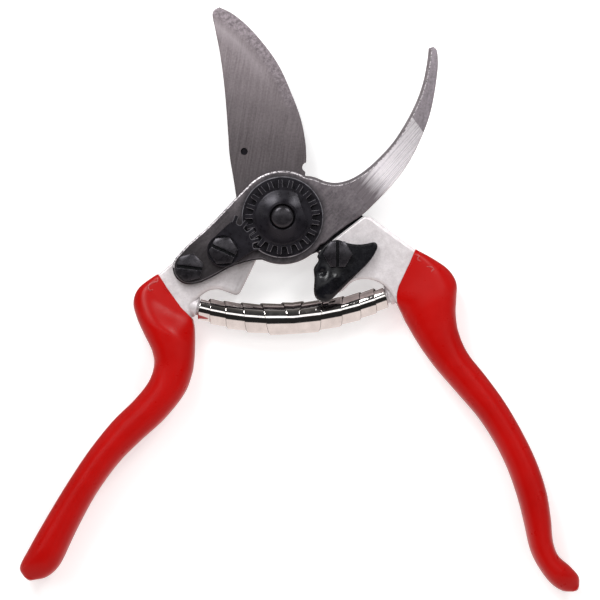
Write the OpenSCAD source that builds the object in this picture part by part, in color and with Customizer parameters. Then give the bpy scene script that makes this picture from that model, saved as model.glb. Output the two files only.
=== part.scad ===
// One-hand bypass pruning shears, shown fully open and lying flat.
// The origin is on the pivot axis, in the plane that the shears lie on.
// +Z points up through the adjusting nut, +Y towards the blade tips.

/* [Pivot] */
// Radius of the round heads that turn on each other
head_r = 15.2; // [15:0.1:15.4]
// Radius of the pivot bolt's shaft
bolt_r = 5; // [4.6:0.1:5.2]
// Radius of the pivot bolt's flat head
bolt_head_r = 8.2; // [7.5:0.1:8.6]
// Running clearance between the shaft and its bush
bush_play = 0.05; // [0.02:0.01:0.08]
// Radial wall of the pivot bush
bush_wall = 1.4; // [1:0.1:1.8]

/* [Plates] */
// Level of the back face of both handle forgings
handle_z = 2.5; // [2.4:0.1:2.6]
// Thickness of the thin head under the cutting blade
head_t = 5; // [4.8:0.1:5]
// Thickness of the cutting blade
blade_t = 3.2; // [2.8:0.1:3.2]
// Gap between the cutting blade and the counter blade
blade_gap = 0.1; // [0.05:0.05:0.1]
// Thickness of the counter blade and its tang
hook_t = 3.5; // [3.2:0.1:3.6]

/* [Adjusting nut] */
// Number of teeth round the nut
nut_teeth = 21; // [21:1:21]
// Radius over the tips of the nut's teeth
nut_tip_r = 12.1; // [11.9:0.1:12.2]
// Radius at the roots of the nut's teeth
nut_root_r = 9.7; // [9.5:0.1:9.9]
// Thickness of the toothed rim and of the toothed segment
nut_t = 2.3; // [2:0.1:2.4]
// Radius of the raised hub at its foot
hub_r = 8.8; // [8.4:0.1:9]

/* [Screws] */
// Head radius of the handle and catch screws
screw_head_r = 4.4; // [4.1:0.1:4.5]
// Height of a screw head
screw_head_h = 2.2; // [1.8:0.1:2.4]
// Shank radius of the screws
screw_r = 2.3; // [2:0.1:2.4]
// Width of the screwdriver slots
slot_w = 1.1; // [0.9:0.1:1.3]

/* [Grips] */
// Thickness of the grips across the palm
grip_t = 16; // [15:0.5:16]
// Thickness of the grips at their mouths
grip_mouth_t = 12.6; // [12.4:0.1:13]
// Squareness of the grip section, 1 is an ellipse
grip_square = 0.82; // [0.7:0.02:1]

/* [Spring] */
// Radius of the spring at its ends
spring_end_r = 3.5; // [3.4:0.05:3.6]
// Radius of the spring in its middle
spring_mid_r = 5.35; // [5.2:0.05:5.4]
// Number of turns in the spring
spring_turns = 10; // [9.5:0.5:10.5]
// Width of the spring's steel strip
strip_w = 7.6; // [7.2:0.1:8]
// Thickness of the spring's steel strip
strip_t = 0.22; // [0.2:0.01:0.24]

/* [Catch] */
// Thickness of the catch lever
catch_t = 2.6; // [2.2:0.1:2.8]

/* [Hidden] */
$fn = 64;

// Levels up the pivot stack
bolt_head_t = 1.95;
thrust_t = 0.45;
blade_z = handle_z + head_t;
hook_z = blade_z + blade_t + blade_gap;
hook_top = hook_z + hook_t;
washer_t = 0.6;
nut_z = hook_top + washer_t;
nut_top = nut_z + nut_t;
hub_h = 2.2;
hub_top = nut_top + hub_h;
shoulder_z = 14;
catch_washer_t = 0.5;
catch_z = shoulder_z + 0.6;
catch_top = catch_z + catch_t;
clear_r = head_r + 0.7;
bush_r = bolt_r + bush_play + bush_wall;
bolt_flat = bolt_r - 0.9;
bolt_neck_r = 3.7;
bolt_dome_r = 3.6;
bolt_dome_h = 1.1;
spring_z = 7.2;
bar_z = 4;
bar_t = 6.5;
through = 40;

// Screw places
tang_screw_at = [-30.1, -16.3];
segment_screw_at = [-19.1, -10.9];
catch_screw_at = [17.8, -12];
rivets_at = [[9.2, -6.6], [-3, 11.4]];
rivet_r = 1.8;
rivet_head_r = 2.6;
rivet_head_t = 0.5;
blind_end = 1;
dimple_at = [-12.5, 21.5];
dimple_r = 1.3;
dimple_depth = 1.2;
sap_notch_at = [8, 16.4];
sap_notch_r = 1.6;

// Counter blade: outer edge from the tip, then the hollow edge back from the ring
hook_outer = [
    [48.8, 55.2], [50.3, 51.4], [50.2, 47.5], [49.2, 40.2], [47.6, 32.9], [45.2, 26.4], [42.2, 20],
    [38.5, 14.2], [34.3, 9.2], [29.5, 4.2], [26.2, 1.1], [21.7, -2], [17.1, -5.3], [13.2, -8.8]
];
hook_inner = [
    [6.2, 13.9], [10.4, 13.1], [14, 11.6], [17.6, 11.2], [21.9, 12.3], [26.6, 15.1], [31.6, 19.6],
    [36.2, 24.8], [40.7, 32], [43.9, 38.7], [45.9, 45], [47, 51], [47.4, 54.8]
];
tang_outline = [
    [-10.6, 11], [-23.3, -2.4], [-33.4, -11.4], [-27.9, -21.4], [-22.2, -19], [-17, -16.1],
    [-12.6, -14.5], [-6, -13.2], [0, 0]
];
tang_end_r = 5.5;

// Cutting blade: back from the heel to the tip, then the cutting edge back to the sap notch
blade_back = [
    [-14.7, 4], [-15.2, 7.5], [-16, 12.7], [-17.2, 20], [-17.7, 27], [-18.4, 36.7], [-19.2, 45],
    [-20.4, 53.6], [-22, 61.6], [-22.8, 65.6], [-22.3, 67.4], [-20.6, 68.4]
];
blade_edge = [
    [-20.6, 68.4], [-16.3, 66.3], [-11.3, 62.2], [-5.7, 55.9], [-1, 49], [3, 40.1], [5.9, 32.2],
    [7.3, 25.4], [7.7, 21], [7.7, 16]
];

// Left handle forging outside the grip
left_rise = [[-40.6, -18.2], [-35.9, -14.7], [-32.6, -11.4], [-22.9, -3.2], [-20, -0.9]];
left_nose = [[-8.6, -13.6], [-13.8, -24.1]];
left_arch = [
    [-15.4, -24.9], [-18.1, -24.1], [-21.2, -23.3], [-24.3, -23.9], [-26.8, -25.5], [-28.9, -27.7],
    [-29.9, -30.4], [-29.3, -33]
];
// Right handle forging outside the grip
right_shoulder = [[12.2, -11], [16.8, -7.4], [26.4, 0.3], [28.5, 0.1], [43, -10.2], [37, -27.4]];
right_arch = [
    [37, -27.4], [34.7, -24], [32.8, -21.9], [30.4, -20.6], [27.4, -20], [24.3, -20.3],
    [21.8, -21.6], [20.2, -23.3], [18.4, -24.4]
];
right_nose = [[17.6, -23.4], [11.8, -13.5]];
right_neck = [[0, 0], [12.2, -11], [30, -8], [20, -21], [15.2, -18.4], [11.8, -13.5]];
// Rubber plug in the nose of the right handle
plug_r = 2.4;
plug_z = 8;
plug_back = 4;
plug_proud = 1;

// Grips: matching points down their outer and inner edges, from the mouth to the end
left_grip_outer = [
    [-40.6, -18.2], [-46.7, -22.7], [-48.6, -27.4], [-47.6, -32.3], [-45.2, -37.8], [-42.6, -43.2],
    [-41.9, -47.8], [-43.6, -53.3], [-48.3, -59.3], [-55.4, -66.3], [-62.8, -75.5], [-70.1, -86.4],
    [-77.3, -98.3], [-83, -108.4], [-85.6, -113.8], [-84.3, -116.8]
];
left_grip_inner = [
    [-29.3, -33], [-28.7, -35.6], [-28.5, -38.5], [-28.5, -41.5], [-28.6, -44.6], [-28.9, -47.8],
    [-29.6, -51.3], [-32, -57.4], [-38.5, -65.6], [-46.8, -73.2], [-53.9, -80.5], [-61.2, -90.8],
    [-67.4, -102.4], [-72.4, -112.8], [-76.6, -116.9], [-80.4, -117.9]
];
right_grip_outer = [
    [43, -10.2], [49, -13.4], [54, -16.9], [56.6, -21.2], [56.6, -26.2], [56.4, -31.2], [57.3, -37.2],
    [60.3, -44.1], [66.2, -51.6], [72.3, -60], [77.7, -69.2], [82.3, -78.6], [85.7, -88.4],
    [87.3, -97.6], [88, -105.2], [89.8, -110], [93.7, -113.6], [96.4, -116.8], [96.6, -119.6]
];
right_grip_inner = [
    [37, -27.4], [37.9, -29.6], [38.9, -31.7], [40, -34], [41.6, -36.8], [43.5, -40], [46.1, -44],
    [50.4, -49.7], [57.2, -57.5], [63.7, -65.1], [69, -73.2], [73.2, -81.7], [76.4, -90.7],
    [78.7, -99.6], [80.4, -107.2], [82.6, -112.5], [86.7, -118.4], [90.8, -121.4], [94.4, -121.8]
];
bar_stations = 10;
bar_share = 0.56;
grip_steps = 3;
mouth_run = 9;
tail_run = 7;
tail_thin = 4.6;

// Catch lever outline, starting over its screw
catch_outline = [
    [18.1, -7.4], [20.4, -8.2], [23.5, -8.8], [26.6, -8.7], [29.6, -8.1], [30.7, -9.3], [29.9, -11.7],
    [27.6, -14.9], [24.3, -18.2], [20.2, -22.3], [15.6, -26.8], [13.3, -27.5], [11.1, -26.5],
    [10.1, -24.2], [10.3, -20], [10.1, -16.6], [11.6, -14.1], [11.2, -12.7], [12.3, -10.9],
    [13.9, -9], [16, -7.7]
];
catch_pad_at = [14.2, -21.4];
catch_pad_r = 3.5;
catch_pad_h = 1.6;
catch_bush_wall = 0.8;
catch_play = 0.06;

// Toothed segment: a sector of a second wheel, centred on the segment screw
segment_end_r = 5.2;
segment_arc = [-2, 77];
segment_cheek = 62;
segment_root_r = 9.6;
segment_overlap = 0.5;
// Turn of the nut's first tooth, and the share of the pitch that a tooth takes at tip and root
nut_turn = 7.7;
tooth_share = [0.26, 0.58];

// Spring seats and the bow of the spring between them
spring_a = [-27.6, -29.3];
spring_b = [34, -25.4];
spring_bow = 5.5;
seat_peg_r = 2.6;
seat_peg_in = 2;
seat_peg_out = 4;

/* Smooth curve through a list of points, without its last point */
function blend_at(a, b, c, d, t) =
    0.5 * (2 * b + (c - a) * t + (2 * a - 5 * b + 4 * c - d) * t * t
    + (3 * b - a - 3 * c + d) * t * t * t);
function curve(p, steps) = [
    for (i = [0:len(p) - 2]) for (k = [0:steps - 1])
        blend_at(p[max(i - 1, 0)], p[i], p[i + 1], p[min(i + 2, len(p) - 1)], k / steps)
];
function whole_curve(p, steps) = concat(curve(p, steps), [p[len(p) - 1]]);
function loop_curve(p, steps) = [
    let (n = len(p)) for (i = [0:n - 1]) for (k = [0:steps - 1])
        blend_at(p[(i + n - 1) % n], p[i], p[(i + 1) % n], p[(i + 2) % n], k / steps)
];
function arc_points(r, from, to, steps) = [
    for (k = [0:steps]) let (a = from + (to - from) * k / steps) [r * cos(a), r * sin(a)]
];
function mix(a, b, t) = a + (b - a) * t;
function ease(t) = let (u = max(0, min(1, t))) u * u * (3 - 2 * u);

/* Toothed wheel outline with flat-topped teeth, turned so that its first tooth points at an angle */
function wheel_points(tip, root, turn) = [
    for (k = [0:nut_teeth - 1])
        for (s = [[-tooth_share[1], root], [-tooth_share[0], tip], [tooth_share[0], tip],
            [tooth_share[1], root]])
            let (a = 360 * (k + s[0] / 2) / nut_teeth + turn) [s[1] * cos(a), s[1] * sin(a)]
];

module plate(z, t) {
    translate([0, 0, z])
        linear_extrude(t)
            children();
}

module rod(at, z, r, h) {
    translate([at[0], at[1], z])
        cylinder(r = r, h = h);
}

/* Closed skin through rings that all hold the same number of points */
module ring_skin(rings) {
    n = len(rings[0]);
    m = len(rings);
    sides = [
        for (r = [0:m - 2]) for (k = [0:n - 1]) each [
            [r * n + k, r * n + (k + 1) % n, (r + 1) * n + (k + 1) % n],
            [r * n + k, (r + 1) * n + (k + 1) % n, (r + 1) * n + k]
        ]
    ];
    ends = [
        [for (k = [0:n - 1]) n - 1 - k],
        [for (k = [0:n - 1]) (m - 1) * n + k]
    ];
    polyhedron(points = [for (ring = rings) each ring], faces = concat(sides, ends));
}

/* One rounded ring of a grip, between an outer and an inner edge point */
function grip_ring(o, i, low, high) = [
    for (k = [0:19]) let (
        a = 18 * k,
        c = sign(cos(a)) * pow(abs(cos(a)), grip_square),
        s = sign(sin(a)) * pow(abs(sin(a)), grip_square),
        xy = (o + i) / 2 + (o - i) / 2 * c
    ) [xy[0], xy[1], (low + high) / 2 + (high - low) / 2 * s]
];

function grip_rings(outer, inner) = [
    let (o = whole_curve(outer, grip_steps), i = whole_curve(inner, grip_steps), m = len(o) - 1)
        for (k = [0:m]) let (
            mouth = 1 - ease(k / mouth_run),
            tail = ease((k - m + tail_run) / tail_run),
            low = (grip_t - grip_mouth_t) / 2 * mouth + tail_thin * tail
        ) grip_ring(o[k], i[k], low, grip_t - low)
];

/* Flat bar that runs down inside a grip */
module grip_bar(outer, inner) {
    stations = [for (k = [0:bar_stations]) k];
    near = [for (k = stations) mix((outer[k] + inner[k]) / 2, outer[k], bar_share)];
    far = [for (k = stations) mix((outer[k] + inner[k]) / 2, inner[k], bar_share)];
    plate(bar_z, bar_t)
        polygon(concat(near, [for (k = stations) far[bar_stations - k]]));
}

module left_handle_outline() {
    polygon(concat(left_rise, arc_points(clear_r, 183, 237, 12), left_nose, curve(left_arch, 3),
        [left_arch[len(left_arch) - 1]]));
}

module right_handle_outline() {
    polygon(concat(right_shoulder, whole_curve(right_arch, 3), right_nose));
}

/* Round peg that carries one end of the spring; the angle is its way out of the handle */
module spring_peg(at, angle) {
    translate([at[0], at[1], spring_z])
        rotate([0, 0, angle])
            rotate([0, 90, 0])
                translate([0, 0, -seat_peg_in])
                    cylinder(r = seat_peg_r, h = seat_peg_in + seat_peg_out);
}

module left_handle() {
    color([0.84, 0.83, 0.82]) {
        difference() {
            union() {
                plate(handle_z, hook_z - handle_z)
                    left_handle_outline();
                grip_bar(left_grip_outer, left_grip_inner);
            }
            rod(tang_screw_at, handle_z + blind_end, screw_r, through);
            rod(segment_screw_at, handle_z + blind_end, screw_r, through);
        }
        spring_peg(spring_a, spring_angle(0));
    }
}

module left_grip() {
    color([0.78, 0.08, 0.06])
        difference() {
            ring_skin(grip_rings(left_grip_outer, left_grip_inner));
            grip_bar(left_grip_outer, left_grip_inner);
        }
}

module right_grip() {
    color([0.78, 0.08, 0.06])
        difference() {
            mirror([0, 0, 1])
                translate([0, 0, -grip_t])
                    ring_skin(grip_rings(right_grip_outer, right_grip_inner));
            grip_bar(right_grip_outer, right_grip_inner);
        }
}

/* Keyed hole through the counter blade for the flatted bolt shaft */
module bolt_key() {
    intersection() {
        circle(r = bolt_r);
        square([2 * bolt_flat, 2 * bolt_r], center = true);
    }
}

module counter_blade() {
    color([0.48, 0.46, 0.47])
        difference() {
            union() {
                rod([0, 0], hook_z, head_r, hook_t);
                rod(tang_screw_at, hook_z, tang_end_r, hook_t);
                plate(hook_z, hook_t)
                    polygon(tang_outline);
                plate(hook_z, hook_t)
                    polygon(concat(curve(hook_outer, 3), [[9.6, -9.4], [0, 0], [5.6, 12.6]],
                        whole_curve(hook_inner, 3)));
            }
            plate(0, through)
                bolt_key();
            rod(tang_screw_at, 0, screw_r, through);
            rod(segment_screw_at, 0, screw_r, through);
        }
}

module cutting_blade() {
    color([0.52, 0.5, 0.5])
        difference() {
            union() {
                rod([0, 0], blade_z, head_r - 0.1, blade_t);
                plate(blade_z, blade_t)
                    polygon(concat([[-9, 2]], curve(blade_back, 3), whole_curve(blade_edge, 3), [[6, 9]]));
            }
            rod(sap_notch_at, 0, sap_notch_r, through);
            rod([0, 0], 0, bush_r, through);
            rod(dimple_at, blade_z + blade_t - dimple_depth, dimple_r, through);
            for (at = rivets_at)
                rod(at, 0, rivet_r, through);
        }
}

module right_handle() {
    color([0.84, 0.83, 0.82]) {
        difference() {
            union() {
                rod([0, 0], handle_z, head_r, head_t);
                plate(handle_z, head_t)
                    polygon(right_neck);
                plate(handle_z, shoulder_z - handle_z)
                    right_handle_outline();
                grip_bar(right_grip_outer, right_grip_inner);
            }
            rod([0, 0], 0, bush_r, through);
            for (at = rivets_at)
                rod(at, 0, rivet_r, through);
            rod(catch_screw_at, handle_z + 2 * blind_end, screw_r, through);
            buffer_plug(2 * plug_proud);
        }
        spring_peg(spring_b, spring_angle(1) + 180);
    }
}

/* Round plug square to the right handle's nose face */
module buffer_plug(proud) {
    face = right_nose[1] - right_nose[0];
    middle = (right_nose[0] + right_nose[1]) / 2;
    translate([middle[0], middle[1], plug_z])
        rotate([0, 0, atan2(face[1], face[0]) + 90])
            rotate([0, 90, 0])
                translate([0, 0, -plug_back])
                    cylinder(r = plug_r, h = plug_back + proud);
}

module shock_absorber() {
    color([0.1, 0.1, 0.1])
        buffer_plug(plug_proud);
}

module blade_rivets() {
    color([0.55, 0.55, 0.56])
        for (at = rivets_at) {
            rod(at, handle_z, rivet_r, blade_z + blade_t - handle_z);
            rod(at, handle_z - rivet_head_t, rivet_head_r, rivet_head_t);
        }
}

module pivot_bush() {
    color([0.75, 0.6, 0.3])
        difference() {
            rod([0, 0], handle_z, bush_r, blade_z + blade_t - handle_z);
            rod([0, 0], 0, bolt_r + bush_play, through);
        }
}

module thrust_washer() {
    color([0.75, 0.6, 0.3])
        difference() {
            rod([0, 0], bolt_head_t, bolt_head_r, thrust_t);
            rod([0, 0], 0, bolt_r, through);
        }
}

module pivot_bolt() {
    color([0.16, 0.15, 0.16]) {
        rotate_extrude()
            polygon([[0, 0], [bolt_head_r - 0.6, 0], [bolt_head_r, 0.6], [bolt_head_r, bolt_head_t],
                [bolt_r, bolt_head_t], [bolt_r, hook_z], [0, hook_z]]);
        plate(hook_z, hook_t)
            bolt_key();
        translate([0, 0, hook_top])
            rotate_extrude()
                polygon(concat([[0, 0], [bolt_flat, 0], [bolt_flat, hub_top - hook_top - 0.3],
                    [bolt_neck_r, hub_top - hook_top - 0.3]],
                    [for (k = [0:6]) let (a = 15 * k)
                        [bolt_dome_r * cos(a), hub_top - hook_top + bolt_dome_h * sin(a)]]));
    }
}

module nut_washer() {
    color([0.16, 0.15, 0.16])
        difference() {
            rod([0, 0], hook_top, nut_tip_r + 1, washer_t);
            rod([0, 0], 0, bolt_flat, through);
        }
}

module adjusting_nut() {
    color([0.15, 0.14, 0.16])
        difference() {
            union() {
                plate(nut_z, nut_t)
                    polygon(wheel_points(nut_tip_r, nut_root_r, nut_turn));
                intersection() {
                    translate([0, 0, nut_top])
                        rotate_extrude()
                            polygon([[0, 0], [hub_r, 0], [hub_r - 0.5, 0.9], [hub_r - 2.6, 1.7],
                                [hub_r - 3.6, hub_h], [0, hub_h]]);
                    for (side = [0, 60, 120])
                        rotate([0, 0, side])
                            translate([0, 0, nut_top])
                                cube([2 * hub_r - 1, through, through], center = true);
                }
            }
            rod([0, 0], 0, bolt_flat, through);
        }
}

/* A tooth of the segment points where the nut, turning the other way, has a gap */
function segment_turn() =
    let (line = atan2(-segment_screw_at[1], -segment_screw_at[0]))
        2 * line + 180 + 180 / nut_teeth - nut_turn;

/* Outline of the sector: from inside its round end out past its teeth and back */
function polar(r, angle) = r * [cos(angle), sin(angle)];
function segment_sector() =
    let (from = segment_arc[0], to = segment_arc[1], inner = segment_end_r - segment_overlap,
        corner = segment_root_r - segment_overlap) [
        polar(inner, to + segment_cheek), polar(corner, to), polar(through, to),
        polar(through, from), polar(corner, from), polar(inner, from - segment_cheek)
    ];

module toothed_segment() {
    color([0.15, 0.14, 0.16])
        translate([segment_screw_at[0], segment_screw_at[1], nut_z])
            difference() {
                union() {
                    cylinder(r = segment_end_r, h = nut_t);
                    intersection() {
                        plate(0, nut_t)
                            polygon(wheel_points(nut_tip_r, segment_root_r, segment_turn()));
                        plate(0, nut_t)
                            polygon(segment_sector());
                    }
                }
                rod([0, 0], -1, screw_r, through);
            }
}

/* Slotted screw with a domed head and a plain shank; level is the underside of the head */
module slotted_screw(at, level, shank, slot_angle) {
    translate([at[0], at[1], level])
        difference() {
            rotate_extrude()
                polygon(concat([[0, -shank], [screw_r, -shank], [screw_r, 0], [screw_head_r, 0],
                    [screw_head_r, screw_head_h * 0.55]],
                    [for (k = [0:5]) let (a = 18 * k) [(screw_head_r - 0.25) * cos(a),
                        screw_head_h * (0.62 + 0.38 * sin(a))]]));
            rotate([0, 0, slot_angle])
                translate([-through / 2, -slot_w / 2, screw_head_h * 0.5])
                    cube([through, slot_w, screw_head_h]);
        }
}

module tang_screw() {
    color([0.17, 0.16, 0.17])
        slotted_screw(tang_screw_at, hook_top, hook_top - handle_z - blind_end, -5);
}

module segment_screw() {
    color([0.17, 0.16, 0.17])
        slotted_screw(segment_screw_at, nut_top, nut_top - handle_z - blind_end, -25);
}

module catch_screw() {
    color([0.17, 0.16, 0.17])
        slotted_screw(catch_screw_at, catch_top + 0.1, catch_top + 0.1 - handle_z - 2 * blind_end, 90);
}

module catch_bush() {
    color([0.6, 0.6, 0.6])
        difference() {
            rod(catch_screw_at, catch_z - 0.1, screw_r + catch_bush_wall, catch_t + 0.2);
            rod(catch_screw_at, 0, screw_r, through);
        }
}

module catch_washer() {
    color([0.6, 0.6, 0.6])
        difference() {
            rod(catch_screw_at, shoulder_z, screw_head_r, catch_washer_t);
            rod(catch_screw_at, 0, screw_r, through);
        }
}

module thumb_catch() {
    color([0.09, 0.09, 0.1])
        difference() {
            union() {
                plate(catch_z, catch_t)
                    polygon(loop_curve(catch_outline, 2));
                translate([catch_pad_at[0], catch_pad_at[1], catch_top - 0.1])
                    pad_dome();
            }
            rod(catch_screw_at, 0, screw_r + catch_bush_wall + catch_play, through);
        }
}

/* Long low dome that the thumb pushes on */
module pad_dome() {
    rotate_extrude()
        polygon(concat([[0, 0]], [for (k = [0:6]) let (a = 15 * k)
            [catch_pad_r * cos(a), catch_pad_h * sin(a)]]));
}

/* Arc from seat to seat that the spring's axis follows */
function chord() = spring_b - spring_a;
function half_chord() = norm(chord()) / 2;
function bow_r() = (half_chord() * half_chord() + spring_bow * spring_bow) / (2 * spring_bow);
function half_bend() = asin(half_chord() / bow_r());
function spring_angle(t) = atan2(chord()[1], chord()[0]) + half_bend() * (2 * t - 1);
function spring_point(t, out, up) =
    let (
        a = spring_angle(t),
        centre = (spring_a + spring_b) / 2
            + (bow_r() - spring_bow) * [-chord()[1], chord()[0]] / norm(chord()),
        r = bow_r() + out
    ) [centre[0] + r * sin(a), centre[1] - r * cos(a), spring_z + up];

/* Steel strip wound in overlapping turns, fattest in the middle */
module volute_spring() {
    steps = 20;
    count = round(spring_turns * steps);
    reach = strip_w / (2 * bow_r() * half_bend() * PI / 180);
    rings = [
        for (k = [0:count]) let (
            t = k / count,
            a = 360 * k / steps,
            r = mix(spring_mid_r, spring_end_r, abs(2 * t - 1)),
            low = t * (1 - reach),
            high = low + reach
        ) [
            spring_point(low, r * cos(a), r * sin(a)),
            spring_point(high, r * cos(a), r * sin(a)),
            spring_point(high, (r - strip_t) * cos(a), (r - strip_t) * sin(a)),
            spring_point(low, (r - strip_t) * cos(a), (r - strip_t) * sin(a))
        ]
    ];
    color([0.75, 0.72, 0.7])
        ring_skin(rings);
}

left_handle();
left_grip();
counter_blade();
tang_screw();
segment_screw();
toothed_segment();
adjusting_nut();
nut_washer();
pivot_bolt();
pivot_bush();
thrust_washer();
cutting_blade();
blade_rivets();
right_handle();
right_grip();
shock_absorber();
thumb_catch();
catch_screw();
catch_bush();
catch_washer();
volute_spring();
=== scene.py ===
import math

import bmesh
import bpy
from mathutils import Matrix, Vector
from mathutils.bvhtree import BVHTree

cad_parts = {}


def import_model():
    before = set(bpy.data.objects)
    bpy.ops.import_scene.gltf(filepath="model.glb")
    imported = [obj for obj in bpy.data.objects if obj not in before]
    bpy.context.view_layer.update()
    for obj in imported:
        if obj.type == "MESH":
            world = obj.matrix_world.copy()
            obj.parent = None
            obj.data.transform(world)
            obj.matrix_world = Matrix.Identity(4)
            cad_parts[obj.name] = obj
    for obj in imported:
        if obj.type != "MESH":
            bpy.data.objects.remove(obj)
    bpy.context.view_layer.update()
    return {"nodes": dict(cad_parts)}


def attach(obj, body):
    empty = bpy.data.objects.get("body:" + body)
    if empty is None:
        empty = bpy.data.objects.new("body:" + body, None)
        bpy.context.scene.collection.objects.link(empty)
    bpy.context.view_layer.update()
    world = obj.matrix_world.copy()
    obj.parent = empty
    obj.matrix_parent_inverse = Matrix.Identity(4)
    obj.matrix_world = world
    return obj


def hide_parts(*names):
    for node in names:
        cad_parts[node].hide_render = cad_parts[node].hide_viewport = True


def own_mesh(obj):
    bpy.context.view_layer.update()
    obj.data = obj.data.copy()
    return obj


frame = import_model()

MM = 0.001

# -------- levels and places, in mm, as in the CAD
HEAD_R = 15.2
HANDLE_Z, BLADE_Z, BLADE_TOP = 2.5, 7.5, 10.7
HOOK_Z, HOOK_TOP = 10.8, 14.3
NUT_Z, NUT_TOP, HUB_TOP = 14.9, 17.2, 19.4
SHOULDER_Z = 14.0
CATCH_Z, CATCH_T, CATCH_TOP = 14.6, 2.6, 17.2
SPRING_Z = 7.2
GRIP_T = 16.0
TANG_SCREW, SEGMENT_SCREW, CATCH_SCREW = (-30.1, -16.3), (-19.1, -10.9), (17.8, -12.0)
NUT_TEETH, NUT_TURN = 21, 7.7
TOOTH_TIP_R, NUT_ROOT_R, SEGMENT_ROOT_R = 12.1, 9.6, 9.7

HOOK_OUTER = [
    (48.9, 55.2), (49.9, 54.2), (50.3, 51.6), (50.2, 47.5), (49.2, 40.2), (47.6, 32.9), (45.2, 26.4),
    (42.2, 20), (38.5, 14.2), (34.3, 9.2), (29.5, 4.2), (26.2, 1.1), (21.7, -2), (17.1, -5.3), (13.6, -8.4),
]
HOOK_INNER = [
    (7.4, 13.5), (10.4, 13.0), (14, 11.6), (17.6, 11.2), (21.9, 12.3), (26.6, 15.1), (31.6, 19.6),
    (36.2, 24.8), (40.7, 32), (43.9, 38.7), (45.9, 45), (47, 51), (47.4, 54.8),
]
BLADE_BACK = [
    (-14.7, 4), (-15.2, 7.5), (-16, 12.7), (-17.2, 20), (-17.7, 27), (-18.4, 36.7), (-19.2, 45),
    (-20.4, 53.6), (-22, 61.6), (-22.8, 65.6), (-22.3, 67.4), (-20.6, 68.4),
]
BLADE_EDGE = [
    (-20.6, 68.4), (-16.3, 66.3), (-11.3, 62.2), (-5.7, 55.9), (-1, 49), (3, 40.1), (5.9, 32.2),
    (7.3, 25.4), (7.7, 21), (7.7, 18),
]
LEFT_GRIP_OUTER = [
    (-40.6, -18.2), (-46.7, -22.7), (-48.6, -27.4), (-47.6, -32.3), (-45.2, -37.8), (-42.6, -43.2),
    (-41.9, -47.8), (-43.6, -53.3), (-48.3, -59.3), (-55.4, -66.3), (-62.8, -75.5), (-70.1, -86.4),
    (-77.3, -98.3), (-83, -108.4), (-85.6, -113.8), (-84.3, -116.8),
]
LEFT_GRIP_INNER = [
    (-29.3, -33), (-28.7, -35.6), (-28.5, -38.5), (-28.5, -41.5), (-28.6, -44.6), (-28.9, -47.8),
    (-29.6, -51.3), (-32, -57.4), (-38.5, -65.6), (-46.8, -73.2), (-53.9, -80.5), (-61.2, -90.8),
    (-67.4, -102.4), (-72.4, -112.8), (-76.6, -116.9), (-80.4, -117.9),
]
RIGHT_GRIP_OUTER = [
    (43, -10.2), (49, -13.4), (54, -16.9), (56.6, -21.2), (56.6, -26.2), (56.4, -31.2), (57.3, -37.2),
    (60.3, -44.1), (66.2, -51.6), (72.3, -60), (77.7, -69.2), (82.3, -78.6), (85.7, -88.4),
    (87.3, -97.6), (88, -105.2), (89.8, -110), (93.7, -113.6), (96.4, -116.8), (96.6, -119.6),
]
RIGHT_GRIP_INNER = [
    (37, -27.4), (37.9, -29.6), (38.9, -31.7), (40, -34), (41.6, -36.8), (43.5, -40), (46.1, -44),
    (50.4, -49.7), (57.2, -57.5), (63.7, -65.1), (69, -73.2), (73.2, -81.7), (76.4, -90.7),
    (78.7, -99.6), (80.4, -107.2), (82.6, -112.5), (86.7, -118.4), (90.8, -121.4), (94.4, -121.8),
]
FACET_LINE = ((42.4, 31.9), (45.5, 27.6))
GROUND_LINE = ((21.0, 11.0), (29.0, 2.0))
CATCH_OUTLINE = [
    (18.1, -7.4), (20.4, -8.2), (23.5, -8.8), (26.6, -8.7), (29.6, -8.1), (30.7, -9.3), (29.9, -11.7),
    (27.6, -14.9), (24.3, -18.2), (20.2, -22.3), (15.6, -26.8), (13.3, -27.5), (11.1, -26.5),
    (10.1, -24.2), (10.3, -20), (10.1, -16.6), (11.6, -14.1), (11.2, -12.7), (12.3, -10.9),
    (13.9, -9), (16, -7.7),
]
SPRING_A, SPRING_B, SPRING_BOW = Vector((-27.6, -29.3)), Vector((34, -25.4)), 5.5
SPRING_END_R, SPRING_MID_R = 3.5, 5.35
SPRING_HALF_TURNS, SPRING_FIRST_TURN, SPRING_JOINED_TURNS = 4.9, -0.22, 0.8
STRIP_W, STRIP_T = 8.2, 0.22
SPRING_MID_HALF, SPRING_ARM, CLOSED_SPRING = 3.6, 27.7, 22.9
FLOOR_GAP = 0.05


# -------- curves and outlines
def spline(points, steps, closed=False):
    """Smooth curve through the points."""
    n = len(points)

    def pick(i):
        return Vector(points[i % n] if closed else points[min(max(i, 0), n - 1)])

    out = []
    for i in range(n if closed else n - 1):
        a, b, c, d = (pick(i + k) for k in (-1, 0, 1, 2))
        for k in range(steps):
            t = k / steps
            out.append(0.5 * (2 * b + (c - a) * t + (2 * a - 5 * b + 4 * c - d) * t * t
                              + (3 * b - a - 3 * c + d) * t ** 3))
    return out if closed else out + [Vector(points[-1])]


def arc(centre, radius, start, end, steps):
    """Points on an arc, both ends included; angles in degrees."""
    angles = [math.radians(start + (end - start) * k / steps) for k in range(steps + 1)]
    return [Vector((centre[0] + radius * math.cos(a), centre[1] + radius * math.sin(a))) for a in angles]


def smoothstep(t):
    t = min(max(t, 0.0), 1.0)
    return t * t * (3 - 2 * t)


def tagged(tag, points):
    """Points of one stretch of an outline with the name of its edge shape."""
    return [(Vector(p), tag) for p in points]


def thinned(outline, least=0.05):
    """The outline without points that fall on their neighbour."""
    kept = []
    for p, tag in outline:
        if not kept or (p - kept[-1][0]).length > least:
            kept.append((p, tag))
    if (kept[0][0] - kept[-1][0]).length <= least:
        kept.pop()
    return kept


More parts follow.
